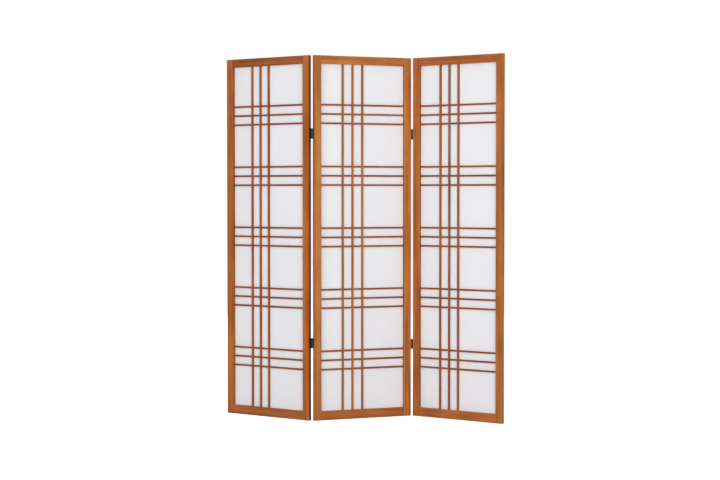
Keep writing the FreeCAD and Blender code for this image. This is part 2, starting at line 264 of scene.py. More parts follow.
masks = {}
soak = 0.0
for layer, facts in GRAIN.items():
    where = point if layer == "clouds" else along
    pattern = noise(wood, where, *facts["noise"], seed=given.outputs["Seed"])
    masks[layer] = stretch(wood, pattern, *facts["mask"])
    soak = math_node(wood, "MULTIPLY_ADD", masks[layer], facts["soak"], soak)

tone = add(wood, "ShaderNodeMix", data_type="RGBA", clamp_factor=True)
wire(wood, soak, tone.inputs["Factor"])
wire(wood, given.outputs["Light Tone"], tone.inputs["A"])
wire(wood, given.outputs["Dark Tone"], tone.inputs["B"])
shaded = add(wood, "ShaderNodeVectorMath", operation="MULTIPLY")
wire(wood, tone.outputs["Result"], shaded.inputs[0])
wire(wood, given.outputs["Shade"], shaded.inputs[1])

# Painted shade: a face that looks sideways across the panel gets its colour scaled by the side factor
sideways = add(wood, "ShaderNodeSeparateXYZ")
wire(wood, in_panel_axes(coordinates["Normal"]), sideways.inputs[0])
is_side = stretch(wood, math_node(wood, "ABSOLUTE", sideways.outputs["X"]), *SIDE_MASK)
painted_side_tone = stretch(wood, is_side, 0.0, 1.0, 1.0, given.outputs["Side Shade"])
with_painted_sides = add(wood, "ShaderNodeVectorMath", operation="SCALE")
wire(wood, shaded.outputs[0], with_painted_sides.inputs[0])
wire(wood, painted_side_tone, with_painted_sides.inputs["Scale"])
raised_fibres = math_node(wood, "MULTIPLY", masks["fibres"], FIBRE_RELIEF)
wire(wood, with_painted_sides.outputs[0], result.inputs["Color"])
wire(wood, stretch(wood, soak, *SOAK_RANGE, *WOOD_ROUGHNESS), result.inputs["Roughness"])
wire(wood, math_node(wood, "SUBTRACT", raised_fibres, masks["pores"]), result.inputs["Height"])
print("wood group:", len(wood.nodes), "nodes")

# %% [markdown]
# ## One finish per member
# Stiles and upright bars have their grain along Z, rails and level bars along the panel, and each panel
# is turned its own way. Every stile and rail has its own piece of the pattern, and most have their own
# lightness and yellowness; the centre panel's stiles and bars are set lighter and yellower than the rest.
# A function makes the finish from those few facts.

# %% Wood finishes
GRAIN_STRETCH = 0.03
LENGTHWISE = {"upright": (1.0, 1.0, GRAIN_STRETCH), "level": (GRAIN_STRETCH, 1.0, 1.0)}
TONES = {
    "frame": ((0.547, 0.170, 0.040, 1.0), (0.235, 0.058, 0.010, 1.0)),
    "upright_bar": ((0.450, 0.130, 0.030, 1.0), (0.225, 0.055, 0.010, 1.0)),
    "level_bar": ((0.350, 0.092, 0.020, 1.0), (0.185, 0.041, 0.007, 1.0)),
    "bead": ((0.490, 0.150, 0.040, 1.0), (0.260, 0.068, 0.014, 1.0)),
}
# How light a board is, and how yellow beside the others
PLAIN_BOARD = (1.0, 1.0)
BOARDS = {
    "left_stile_left": (0.965, 1.0),
    "left_stile_right": (1.04, 1.01),
    "left_rail_top": (0.785, 0.95),
    "left_rail_bottom": (0.89, 1.0),
    "centre_stile_left": (1.07, 1.15),
    "centre_stile_right": (1.08, 1.15),
    "centre_rail_top": (1.02, 1.13),
    "centre_rail_bottom": (0.94, 1.0),
    "right_stile_left": (1.02, 1.04),
    "right_stile_right": (1.0, 1.05),
    "right_rail_top": (0.95, 0.98),
    "right_rail_bottom": (1.06, 1.06),
    "centre_lattice_uprights": (1.10, 1.18),
    "centre_lattice_band_1": (1.02, 1.03),
    "left_lattice_uprights": (1.02, 0.97),
    "left_lattice_band_1": (0.91, 0.93),
    "right_lattice_band_1": (0.95, 0.93),
}
# Painted shade: how light a member's sides are beside its face. The sides in the left joint's gap are
# darkest.
PAINTED_SIDE_SHADE = {"frame": 0.95, "bead": 0.95, "upright_bar": 0.66, "level_bar": 0.66}
JOINT_SIDE_PAINTED_SHADE = {"left_stile_right": 0.48, "centre_stile_left": 0.6}
GRAIN_BUMP = 0.12
GRAIN_DEPTH = 0.4 * MM
SATIN = 0.16


def new_material(name):
    """An empty material with a Principled BSDF wired to its output."""
    material = bpy.data.materials.new(name)
    material.use_nodes = True
    return material, material.node_tree, material.node_tree.nodes["Principled BSDF"]


def wood_finish(name, kind, run, body, seed):
    """Stained wood with its grain along one direction of a panel."""
    material, tree, shader = new_material(f"wood_{name}")
    light, yellow = BOARDS.get(name, PLAIN_BOARD)
    shade = (light, light * yellow, light * yellow)
    # Painted shade on this member's sides; the two sides at the left joint get the darkest
    side = JOINT_SIDE_PAINTED_SHADE.get(name, PAINTED_SIDE_SHADE[kind])
    grain = place_group(tree, wood, Turn=-turns[body], Lengthwise=LENGTHWISE[run], Seed=seed, Shade=shade,
                        Side_Shade=side)
    grain.inputs["Light Tone"].default_value, grain.inputs["Dark Tone"].default_value = TONES[kind]
    relief = add(tree, "ShaderNodeBump")
    relief.inputs["Strength"].default_value = GRAIN_BUMP
    relief.inputs["Distance"].default_value = GRAIN_DEPTH
    wire(tree, grain.outputs["Height"], relief.inputs["Height"])
    wire(tree, grain.outputs["Color"], shader.inputs["Base Color"])
    wire(tree, grain.outputs["Roughness"], shader.inputs["Roughness"])
    wire(tree, relief.outputs["Normal"], shader.inputs["Normal"])
    shader.inputs["Specular IOR Level"].default_value = SATIN
    return material


# %% [markdown]
# ## Paper
# The sheet is white laminated paper: matt, a little uneven in tone, with long fibres pressed into it. The
# fibres are a stretched, distorted noise that is only kept where it is close to its middle value, which
# leaves thin curls.

# %% Paper finish
PAPER_WHITE = (0.815, 0.815, 0.845, 1.0)
PAPER_FIBRE = (0.775, 0.772, 0.785, 1.0)
# Scale, detail, roughness and distortion of the two noises
CURL_NOISE = (90.0, 2, 0.55, 1.6)
PULP_NOISE = (14.0, 4, 0.6)
FIBRE_HALF_WIDTH = 0.012
PULP_MASK = (0.35, 0.65)
FIBRE_TINT = 0.55
PULP_TINT = 0.3
PAPER_ROUGHNESS = (0.72, 0.82)
PAPER_SPECULAR = 0.25
PAPER_BUMP = 0.08
PAPER_DEPTH = 0.3 * MM

paper, paper_tree, paper_shader = new_material("paper")
paper_point = add(paper_tree, "ShaderNodeTexCoord").outputs["Object"]
from_middle = math_node(paper_tree, "SUBTRACT", noise(paper_tree, paper_point, *CURL_NOISE), 0.5)
from_middle = math_node(paper_tree, "ABSOLUTE", from_middle)
fibre_mask = stretch(paper_tree, from_middle, 0.0, FIBRE_HALF_WIDTH, 1.0, 0.0)
pulp = stretch(paper_tree, noise(paper_tree, paper_point, *PULP_NOISE), *PULP_MASK)
mottled = math_node(paper_tree, "MULTIPLY", pulp, PULP_TINT)
mottled = math_node(paper_tree, "MULTIPLY_ADD", fibre_mask, FIBRE_TINT, mottled)
paper_tone = add(paper_tree, "ShaderNodeMix", data_type="RGBA", clamp_factor=True)
wire(paper_tree, mottled, paper_tone.inputs["Factor"])
wire(paper_tree, PAPER_WHITE, paper_tone.inputs["A"])
wire(paper_tree, PAPER_FIBRE, paper_tone.inputs["B"])
paper_relief = add(paper_tree, "ShaderNodeBump")
paper_relief.inputs["Strength"].default_value = PAPER_BUMP
paper_relief.inputs["Distance"].default_value = PAPER_DEPTH
wire(paper_tree, fibre_mask, paper_relief.inputs["Height"])
wire(paper_tree, paper_tone.outputs["Result"], paper_shader.inputs["Base Color"])
wire(paper_tree, paper_relief.outputs["Normal"], paper_shader.inputs["Normal"])
wire(paper_tree, stretch(paper_tree, pulp, 0.0, 1.0, *PAPER_ROUGHNESS), paper_shader.inputs["Roughness"])
paper_shader.inputs["Specular IOR Level"].default_value = PAPER_SPECULAR
print("paper:", len(paper_tree.nodes), "nodes")

# %% [markdown]
# ## Black hinges
# The hinges are pressed steel under black lacquer. Lacquer on pressed steel is never quite even: it has a
# fine orange-peel relief and small grey scuffs, and the knuckles get a painted grey sheen. A knuckle is
# told from a leaf by its distance to the pin: the pins' places come from the joints, so the mask needs no
# painting. Leaves, pins and screws share one group and differ only in their scuffs and painted sheen. The
# hinges whose pins stand in front get less of both than the ones with their pins behind.

# %% Scuffed and sheened lacquer group
LACQUER_INPUTS = [
    ("Left Pin", "NodeSocketVector", (0.0, 0.0, 0.0)),
    ("Right Pin", "NodeSocketVector", (0.0, 0.0, 0.0)),
    ("Knuckle Radius", "NodeSocketFloat", 3.0 * MM),
    ("Knuckle Wear", "NodeSocketFloat", 0.6),
    ("Scuffs", "NodeSocketFloat", 0.4),
    ("Gloss", "NodeSocketFloat", 0.3),
    ("Lacquer", "NodeSocketColor", (0.006, 0.006, 0.006, 1.0)),
    # The grey of the scuffs and of the painted knuckle sheen
    ("Scuffed And Sheened Lacquer", "NodeSocketColor", (0.075, 0.078, 0.082, 1.0)),
]
SCUFF_NOISE = (160.0, 4, 0.65)
SCUFF_MASK = (0.5, 0.7)
PEEL_NOISE = (900.0, 2, 0.5)
# The painted sheen of a knuckle ends this many knuckle radii away from the pin
SHEEN_ENDS = 1.25
SCUFF_AND_SHEEN_ROUGHNESS = 0.15

lacquer = group_tree("scuffed and sheened lacquer", "ShaderNodeTree", LACQUER_INPUTS, FINISH_OUTPUTS)
given = add(lacquer, "NodeGroupInput").outputs
result = add(lacquer, "NodeGroupOutput")
point = add(lacquer, "ShaderNodeTexCoord").outputs["Object"]


def distance_to_pin(pin):
    """The distance of the shaded point to a pin's upright axis."""
    apart = add(lacquer, "ShaderNodeVectorMath", operation="SUBTRACT")
    wire(lacquer, point, apart.inputs[0])
    wire(lacquer, pin, apart.inputs[1])
    level = add(lacquer, "ShaderNodeVectorMath", operation="MULTIPLY")
    wire(lacquer, apart.outputs[0], level.inputs[0])
    wire(lacquer, (1.0, 1.0, 0.0), level.inputs[1])
    length = add(lacquer, "ShaderNodeVectorMath", operation="LENGTH")
    wire(lacquer, level.outputs[0], length.inputs[0])
    return length.outputs["Value"]


to_left = distance_to_pin(given["Left Pin"])
to_right = distance_to_pin(given["Right Pin"])
nearest = math_node(lacquer, "MINIMUM", to_left, to_right)
beyond = math_node(lacquer, "DIVIDE", nearest, given["Knuckle Radius"])
# Painted highlight: near a pin the knuckle turns grey, standing in for the light it catches
painted_knuckle_sheen = stretch(lacquer, beyond, 1.0, SHEEN_ENDS, given["Knuckle Wear"], 0.0)
scuffs = stretch(lacquer, noise(lacquer, point, *SCUFF_NOISE), *SCUFF_MASK, 0.0, given["Scuffs"])
scuffs_and_sheen = math_node(lacquer, "ADD", painted_knuckle_sheen, scuffs)
roughness = math_node(lacquer, "MULTIPLY_ADD", scuffs_and_sheen, SCUFF_AND_SHEEN_ROUGHNESS, given["Gloss"])
tone = add(lacquer, "ShaderNodeMix", data_type="RGBA", clamp_factor=True)
wire(lacquer, scuffs_and_sheen, tone.inputs["Factor"])
wire(lacquer, given["Lacquer"], tone.inputs["A"])
wire(lacquer, given["Scuffed And Sheened Lacquer"], tone.inputs["B"])
wire(lacquer, tone.outputs["Result"], result.inputs["Color"])
wire(lacquer, roughness, result.inputs["Roughness"])
wire(lacquer, noise(lacquer, point, *PEEL_NOISE), result.inputs["Height"])
print("lacquer group:", len(lacquer.nodes), "nodes")

# %% Hinge finishes
pins = {"Left_Pin": tuple(floor_point("left_fold")), "Right_Pin": tuple(floor_point("right_fold"))}
PEEL_BUMP = 0.1
PEEL_DEPTH = 0.2 * MM


def lacquer_finish(name, gloss, knuckle_sheen, scuffs):
    """Black lacquered steel, with grey scuffs and a painted grey sheen on the knuckles, by amounts from 0
    to 1.
    """
    material, tree, shader = new_material(name)
    coat = place_group(tree, lacquer, Gloss=gloss, Knuckle_Wear=knuckle_sheen, Scuffs=scuffs, **pins)
    peel = add(tree, "ShaderNodeBump")
    peel.inputs["Strength"].default_value = PEEL_BUMP
    peel.inputs["Distance"].default_value = PEEL_DEPTH
    wire(tree, coat.outputs["Height"], peel.inputs["Height"])
    wire(tree, coat.outputs["Color"], shader.inputs["Base Color"])
    wire(tree, coat.outputs["Roughness"], shader.inputs["Roughness"])
    wire(tree, peel.outputs["Normal"], shader.inputs["Normal"])
    return material


# Each finish's painted knuckle sheen and scuffs
hinge_leaf = lacquer_finish("hinge_leaf", gloss=0.32, knuckle_sheen=0.4, scuffs=0.25)
front_hinge_leaf = lacquer_finish("front_hinge_leaf", gloss=0.32, knuckle_sheen=0.15, scuffs=0.15)
hinge_pin = lacquer_finish("hinge_pin", gloss=0.28, knuckle_sheen=0.9, scuffs=0.6)

# %% [markdown]
# ## Dress the CAD nodes
# A node's name says what it is and where it stands, so the finish follows from the name. Only the
# material slot changes: the mesh stays as it came.


# %% Assign the finishes
# The step in the noise's fourth number from one member's piece of the pattern to the next one's
SEED_STEP = 1.7


def wood_of(name, number):
    """The wood finish of a CAD node."""
    is_upright = "stile" in name or "uprights" in name or name.endswith(("bead_left", "bead_right"))
    run = "upright" if is_upright else "level"
    kind = "bead" if "_bead_" in name else f"{run}_bar" if "_lattice_" in name else "frame"
    return wood_finish(name, kind, run, nodes[name]["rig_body"], SEED_STEP * number)


for number, (name, node) in enumerate(sorted(nodes.items())):
    node.data.materials.clear()
    if name.endswith("_pin"):
        node.data.materials.append(hinge_pin)
    elif name.startswith("hinge_"):
        node.data.materials.append(front_hinge_leaf if "_right_" in name else hinge_leaf)
    elif name.endswith("_paper"):
        node.data.materials.append(paper)
    else:
        node.data.materials.append(wood_of(name, number))
print("dressed", len(nodes), "nodes")

# %% [markdown]
# ## The lattice by rule
# The lattice is the heart of the screen. Three upright bars cross five bands of three level bars, and at
# every crossing each bar gives up half of its depth, so that the faces lie flush. All bars of one kind
# are the same notched bar, repeated. So one Geometry Nodes tree makes them: it lays out the side profile
# of a bar from nothing but index arithmetic, fills it, gives it its width, and sets copies of it at the
# pitches.
#
# A profile runs up one edge and back down the other. Each notch needs four points, so the point number
# divided by four gives the notch, and the remainder tells which corner of the notch it is.

# %% Lattice sizes
UPRIGHT_WIDTH = 8 * MM
LEVEL_HEIGHT = 7 * MM
BAR_DEPTH = 7 * MM
BAR_BACK = 15.5 * MM
BAR_FRONT = BAR_BACK - BAR_DEPTH
LAP_PLANE = BAR_BACK - BAR_DEPTH / 2
CLEARANCE = 0.1 * MM
HOUSING = 4 * MM
WINDOW = {"left": 32 * MM, "right": 406 * MM, "bottom": 37.5 * MM, "top": 1486 * MM}
UPRIGHT_PITCH = 44 * MM
LEVEL_PITCH = 38.5 * MM
BAND_PITCH = 257.125 * MM
BOTTOM_FIELD = 173.5 * MM
BANDS = 5
BARS = 3
first_upright = (WINDOW["left"] + WINDOW["right"]) / 2 - UPRIGHT_PITCH * 2
first_level = WINDOW["bottom"] + BOTTOM_FIELD
print("first upright bar at", round(first_upright / MM, 1), "mm")
print("first level bar at", round(first_level / MM, 1), "mm")

# %% [markdown]
# Both the notches of a bar and the bars themselves stand in groups: a small step inside a group, a large
# one from group to group. The first tree says that once, as a number worked out from an index.

# %% Stepped distance
STEP_INPUTS = [
    ("Index", "NodeSocketFloat", 0.0),
    ("First", "NodeSocketFloat", 0.0),
    ("Group Size", "NodeSocketFloat", 3.0),
    ("Pitch", "NodeSocketFloat", 0.04),
    ("Group Pitch", "NodeSocketFloat", 0.25),
]
# Keeps the division of one whole number by another from falling just short of a whole number
NUDGE = 0.001

stepped = group_tree("stepped distance", "GeometryNodeTree", STEP_INPUTS, [("Distance", "NodeSocketFloat")])
given = add(stepped, "NodeGroupInput").outputs
result = add(stepped, "NodeGroupOutput")
nudged = math_node(stepped, "ADD", given["Index"], NUDGE)
whole_groups = math_node(stepped, "FLOOR", math_node(stepped, "DIVIDE", nudged, given["Group Size"]))
in_earlier_groups = math_node(stepped, "MULTIPLY", whole_groups, given["Group Size"])
in_group = math_node(stepped, "SUBTRACT", given["Index"], in_earlier_groups)
distance = math_node(stepped, "MULTIPLY_ADD", in_group, given["Pitch"], given["First"])
distance = math_node(stepped, "MULTIPLY_ADD", whole_groups, given["Group Pitch"], distance)
wire(stepped, distance, result.inputs["Distance"])


def geometry_group(tree, group, values):
    """A geometry group used inside another tree, with its inputs set by name."""
    node = add(tree, "GeometryNodeGroup", node_tree=group)
    for label, value in values.items():
        wire(tree, value, node.inputs[label])
    return node.outputs[0]


def chosen(tree, question, no, yes):
    """One of two numbers."""
    node = add(tree, "GeometryNodeSwitch", input_type="FLOAT")
    for socket, value in (("Switch", question), ("False", no), ("True", yes)):
        wire(tree, value, node.inputs[socket])
    return node.outputs[0]


def spot(tree, x, y, z):
    """A vector put together from three numbers."""
    node = add(tree, "ShaderNodeCombineXYZ")
    for value, socket in zip((x, y, z), node.inputs):
        wire(tree, value, socket)
    return node.outputs[0]


# %% [markdown]
# ## The notched bar
# The bar is first drawn flat: X runs along it and Y through the depth of the lattice. Then it is pulled
# to its width, turned into its place and copied. The last step moves the whole set into its panel.

# %% Notched bar tree
BAR_INPUTS = [
    ("Start", "NodeSocketFloat", 0.0),
    ("End", "NodeSocketFloat", 1.0),
    ("Width", "NodeSocketFloat", LEVEL_HEIGHT),
    ("Notched Edge", "NodeSocketFloat", BAR_BACK),
    ("Plain Edge", "NodeSocketFloat", BAR_FRONT),
    ("Notch Floor", "NodeSocketFloat", LAP_PLANE),
    ("Notches", "NodeSocketInt", 3),
    ("Notch Width", "NodeSocketFloat", UPRIGHT_WIDTH + 2 * CLEARANCE),
    ("First Notch", "NodeSocketFloat", 0.1),
    ("Notch Pitch", "NodeSocketFloat", 0.04),
    ("Notch Group Pitch", "NodeSocketFloat", 0.25),
    ("Bar Turn", "NodeSocketVector", (0.0, 0.0, 0.0)),
    ("Bars", "NodeSocketInt", 3),
    ("Bar Direction", "NodeSocketVector", (1.0, 0.0, 0.0)),
    ("First Bar", "NodeSocketFloat", 0.1),
    ("Bar Pitch", "NodeSocketFloat", 0.04),
    ("Bar Group Pitch", "NodeSocketFloat", 0.25),
    ("Panel Turn", "NodeSocketVector", (0.0, 0.0, 0.0)),
    ("Panel Corner", "NodeSocketVector", (0.0, 0.0, 0.0)),
    ("Material", "NodeSocketMaterial", None),
]
GEOMETRY_OUT = [("Geometry", "NodeSocketGeometry")]
# A notch has four points, two at each of its sides. The bar's own corners are four more.
POINTS_PER_NOTCH = 4.0
BAR_CORNERS = 4.0
SEWING_DISTANCE = 0.01 * MM

bars = group_tree("notched bars", "GeometryNodeTree", BAR_INPUTS, GEOMETRY_OUT)
given = add(bars, "NodeGroupInput").outputs
result = add(bars, "NodeGroupOutput")

index = add(bars, "GeometryNodeInputIndex").outputs[0]
past_first = math_node(bars, "SUBTRACT", index, 1.0)
notch_number = math_node(bars, "FLOOR", math_node(bars, "DIVIDE", past_first, POINTS_PER_NOTCH))
earlier_points = math_node(bars, "MULTIPLY", notch_number, POINTS_PER_NOTCH)
corner = math_node(bars, "SUBTRACT", past_first, earlier_points)
last_notch_point = math_node(bars, "MULTIPLY", given["Notches"], POINTS_PER_NOTCH)
past_notches = math_node(bars, "SUBTRACT", index, last_notch_point)

notch_centre = geometry_group(bars, stepped, {
    "Index": notch_number, "First": given["First Notch"], "Group Size": float(BARS),
    "Pitch": given["Notch Pitch"], "Group Pitch": given["Notch Group Pitch"],
})
# Corners 0 and 1 of a notch are on its near side, 2 and 3 on its far side, and 1 and 2 on its floor
half_notch = math_node(bars, "MULTIPLY", given["Notch Width"], 0.5)
to_the_side = chosen(bars, math_node(bars, "GREATER_THAN", corner, 1.5), -1.0, 1.0)
notch_x = math_node(bars, "MULTIPLY_ADD", half_notch, to_the_side, notch_centre)
is_deep = math_node(bars, "COMPARE", corner, 1.5, 0.6)
notch_y = chosen(bars, is_deep, given["Notched Edge"], given["Notch Floor"])

# Point 0 starts the notched edge. Past the notches, point 1 ends it, and 2 and 3 end the plain edge.
tail_x = chosen(bars, math_node(bars, "GREATER_THAN", past_notches, 2.5), given["End"], given["Start"])
profile_x = chosen(bars, math_node(bars, "GREATER_THAN", past_notches, 0.5), notch_x, tail_x)
profile_x = chosen(bars, math_node(bars, "LESS_THAN", index, 0.5), profile_x, given["Start"])
profile_y = chosen(bars, math_node(bars, "GREATER_THAN", past_notches, 1.5), notch_y, given["Plain Edge"])

profile = add(bars, "GeometryNodeMeshLine")
wire(bars, math_node(bars, "ADD", last_notch_point, BAR_CORNERS), profile.inputs["Count"])
lay_out = add(bars, "GeometryNodeSetPosition")
wire(bars, profile.outputs[0], lay_out.inputs["Geometry"])
wire(bars, spot(bars, profile_x, profile_y, 0.0), lay_out.inputs["Position"])
as_curve = add(bars, "GeometryNodeMeshToCurve")
wire(bars, lay_out.outputs[0], as_curve.inputs[0])
closed = add(bars, "GeometryNodeSetSplineCyclic")
wire(bars, as_curve.outputs[0], closed.inputs["Geometry"])
wire(bars, True, closed.inputs["Cyclic"])
side_face = add(bars, "GeometryNodeFillCurve", mode="NGONS")
wire(bars, closed.outputs[0], side_face.inputs[0])

pull = add(bars, "GeometryNodeExtrudeMesh", mode="FACES")
wire(bars, side_face.outputs[0], pull.inputs["Mesh"])
wire(bars, given["Width"], pull.inputs["Offset Scale"])
wire(bars, False, pull.inputs["Individual"])
other_face = add(bars, "GeometryNodeFlipFaces")
wire(bars, side_face.outputs[0], other_face.inputs[0])
both = add(bars, "GeometryNodeJoinGeometry")
wire(bars, pull.outputs["Mesh"], both.inputs[0])
wire(bars, other_face.outputs[0], both.inputs[0])
sewn = add(bars, "GeometryNodeMergeByDistance")
wire(bars, both.outputs[0], sewn.inputs["Geometry"])
wire(bars, SEWING_DISTANCE, sewn.inputs["Distance"])
centred = add(bars, "GeometryNodeTransform")
wire(bars, sewn.outputs[0], centred.inputs["Geometry"])
half_width_down = math_node(bars, "MULTIPLY", given["Width"], -0.5)
wire(bars, spot(bars, 0.0, 0.0, half_width_down), centred.inputs["Translation"])
turned_bar = add(bars, "GeometryNodeTransform")
wire(bars, centred.outputs[0], turned_bar.inputs["Geometry"])
wire(bars, given["Bar Turn"], turned_bar.inputs["Rotation"])

row = add(bars, "GeometryNodeMeshLine")
wire(bars, given["Bars"], row.inputs["Count"])
bar_distance = geometry_group(bars, stepped, {
    "Index": index, "First": given["First Bar"], "Group Size": float(BARS),
    "Pitch": given["Bar Pitch"], "Group Pitch": given["Bar Group Pitch"],
})
along_direction = add(bars, "ShaderNodeVectorMath", operation="SCALE")
wire(bars, given["Bar Direction"], along_direction.inputs[0])
wire(bars, bar_distance, along_direction.inputs["Scale"])
spread = add(bars, "GeometryNodeSetPosition")
wire(bars, row.outputs[0], spread.inputs["Geometry"])
wire(bars, along_direction.outputs[0], spread.inputs["Position"])
copies = add(bars, "GeometryNodeInstanceOnPoints")
wire(bars, spread.outputs[0], copies.inputs["Points"])
wire(bars, turned_bar.outputs[0], copies.inputs["Instance"])


def end_tree(tree, instances, given, result):
    """The common end of the trees: into the panel, instances made real, material set."""
    moved = add(tree, "GeometryNodeTransform")
    wire(tree, instances, moved.inputs["Geometry"])
    wire(tree, given["Panel Corner"], moved.inputs["Translation"])
    wire(tree, given["Panel Turn"], moved.inputs["Rotation"])
    real = add(tree, "GeometryNodeRealizeInstances")
    wire(tree, moved.outputs[0], real.inputs[0])
    painted = add(tree, "GeometryNodeSetMaterial")
    wire(tree, real.outputs[0], painted.inputs["Geometry"])
    wire(tree, given["Material"], painted.inputs["Material"])
    wire(tree, painted.outputs[0], result.inputs["Geometry"])


end_tree(bars, copies.outputs[0], given, result)
print("notched bar tree:", len(bars.nodes), "nodes")

# %% [markdown]
# ## Grow the lattice
# The tree is run twice per panel on an empty mesh, once for the upright bars and once for the level bars,
# and what it makes is kept as a plain mesh that replaces the CAD bars. A narrow bevel then takes the
# sharpness off, as sandpaper does, so that the edges catch a thin line of light.


# %% Run the tree
def grow(name, tree, body, material, values):
    """Runs a tree and returns its result as a plain mesh piece that stands in its panel."""
    piece = bpy.data.objects.new(name, bpy.data.meshes.new(name))
    scene.collection.objects.link(piece)
    rule = piece.modifiers.new("rule", "NODES")
    rule.node_group = tree
    sockets = {item.name: item.identifier for item in tree.interface.items_tree if item.in_out == "INPUT"}
    placed = {
        "Panel Turn": (0.0, 0.0, turns[body]),
        "Panel Corner": tuple(places[body].translation),
        "Material": material,
    }
    for label, value in {**values, **placed}.items():
        rule[sockets[label]] = value
    evaluated = piece.evaluated_get(bpy.context.evaluated_depsgraph_get())
    mesh = bpy.data.meshes.new_from_object(evaluated)
    piece.modifiers.clear()
    piece.data = mesh
    return piece


SOFT_EDGE = 0.4 * MM
SHARP_ANGLE = math.radians(40)


def soften(piece, width):
    """A narrow bevel on the sharp edges."""
    bevel = piece.modifiers.new("soft edges", "BEVEL")
    bevel.width = width
    bevel.segments = 1
    bevel.limit_method = "ANGLE"
    bevel.angle_limit = SHARP_ANGLE


def material_of(name):
    """The finish that a CAD node got above."""
    return nodes[name].data.materials[0]


for body in turns:
    panel = body.removesuffix("_panel")
    uprights = grow(f"{panel}_upright_bars", bars, body, material_of(f"{panel}_lattice_uprights"), {
        "Start": WINDOW["bottom"] - HOUSING,
        "End": WINDOW["top"] + HOUSING,
        "Width": UPRIGHT_WIDTH,
        "Notched Edge": BAR_BACK,
        "Plain Edge": BAR_FRONT,
        "Notches": BANDS * BARS,
        "Notch Width": LEVEL_HEIGHT + 2 * CLEARANCE,
        "First Notch": first_level,
        "Notch Pitch": LEVEL_PITCH,
        "Notch Group Pitch": BAND_PITCH,
        "Bar Turn": (0.0, -math.pi / 2, 0.0),
        "Bars": BARS,
        "Bar Direction": (1.0, 0.0, 0.0),
        "First Bar": first_upright,
        "Bar Pitch": UPRIGHT_PITCH,
    })
    levels = grow(f"{panel}_level_bars", bars, body, material_of(f"{panel}_lattice_band_1"), {
        "Start": WINDOW["left"] - HOUSING,
        "End": WINDOW["right"] + HOUSING,
        "Width": LEVEL_HEIGHT,
        "Notched Edge": BAR_FRONT,
        "Plain Edge": BAR_BACK,
        "Notches": BARS,
        "Notch Width": UPRIGHT_WIDTH + 2 * CLEARANCE,
        "First Notch": first_upright,
        "Notch Pitch": UPRIGHT_PITCH,
        "Bars": BANDS * BARS,
        "Bar Direction": (0.0, 0.0, 1.0),
        "First Bar": first_level,
        "Bar Pitch": LEVEL_PITCH,
        "Bar Group Pitch": BAND_PITCH,
    })
    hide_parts(f"{panel}_lattice_uprights")
    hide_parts(*(f"{panel}_lattice_band_{band}" for band in range(1, BANDS + 1)))
    for piece in (uprights, levels):
        soften(piece, SOFT_EDGE)
        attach(piece, body)
    print(panel, "upright bars:", len(uprights.data.polygons), "faces")
    print(panel, "level bars:", len(levels.data.polygons), "faces")

# %% [markdown]
# ## Hinge screws
# Every leaf is held by three countersunk screws. A screw's head is a cone with a cross cut out of it. The
# tree sets one column of six screws for each hinge edge of a panel, and a fixed seed turns each screw a
# little differently.

# %% Screw tree
SCREW_PITCH = 14 * MM
SCREW_INPUTS = [
    ("Head Radius", "NodeSocketFloat", 2.75 * MM),
    ("Foot Radius", "NodeSocketFloat", 1.65 * MM),
    ("Head Height", "NodeSocketFloat", 1.1 * MM),
    ("Cross Length", "NodeSocketFloat", 3.4 * MM),
    ("Cross Width", "NodeSocketFloat", 0.7 * MM),
    ("Columns", "NodeSocketInt", 1),
    ("First Column", "NodeSocketVector", (0.0, 0.0, 0.0)),
    ("Column Step", "NodeSocketVector", (0.0, 0.0, 0.0)),
    ("Facing", "NodeSocketFloat", 0.0),
    ("Pitch", "NodeSocketFloat", SCREW_PITCH),
    ("Hinge Pitch", "NodeSocketFloat", 880 * MM),
    ("Hinge Pitch Step", "NodeSocketFloat", 0.0),
    ("Seed", "NodeSocketInt", 4),
    ("Panel Turn", "NodeSocketVector", (0.0, 0.0, 0.0)),
    ("Panel Corner", "NodeSocketVector", (0.0, 0.0, 0.0)),
    ("Material", "NodeSocketMaterial", None),
]
SCREWS_PER_LEAF = 3.0
SCREWS_PER_COLUMN = 6.0
HEAD_SIDES = 24

screws = group_tree("screw columns", "GeometryNodeTree", SCREW_INPUTS, GEOMETRY_OUT)
given = add(screws, "NodeGroupInput").outputs
result = add(screws, "NodeGroupOutput")

head = add(screws, "GeometryNodeMeshCone", fill_type="NGON")
wire(screws, HEAD_SIDES, head.inputs["Vertices"])
wire(screws, given["Head Radius"], head.inputs["Radius Top"])
wire(screws, given["Foot Radius"], head.inputs["Radius Bottom"])
wire(screws, given["Head Height"], head.inputs["Depth"])
cross = add(screws, "GeometryNodeMeshBoolean", operation="DIFFERENCE", solver="EXACT")
wire(screws, head.outputs["Mesh"], cross.inputs["Mesh 1"])
for long_axis in (0, 1):
    cutter = add(screws, "GeometryNodeMeshCube")
    size = [given["Cross Width"], given["Cross Width"], given["Head Height"]]
    size[long_axis] = given["Cross Length"]
    wire(screws, spot(screws, *size), cutter.inputs["Size"])
    lifted = add(screws, "GeometryNodeTransform")
    wire(screws, cutter.outputs["Mesh"], lifted.inputs["Geometry"])
    wire(screws, spot(screws, 0.0, 0.0, given["Head Height"]), lifted.inputs["Translation"])
    wire(screws, lifted.outputs[0], cross.inputs["Mesh 2"])
facing_x = add(screws, "GeometryNodeTransform")
wire(screws, cross.outputs["Mesh"], facing_x.inputs["Geometry"])
wire(screws, (0.0, math.pi / 2, 0.0), facing_x.inputs["Rotation"])
sunk = math_node(screws, "MULTIPLY", given["Head Height"], -0.5)
wire(screws, spot(screws, sunk, 0.0, 0.0), facing_x.inputs["Translation"])

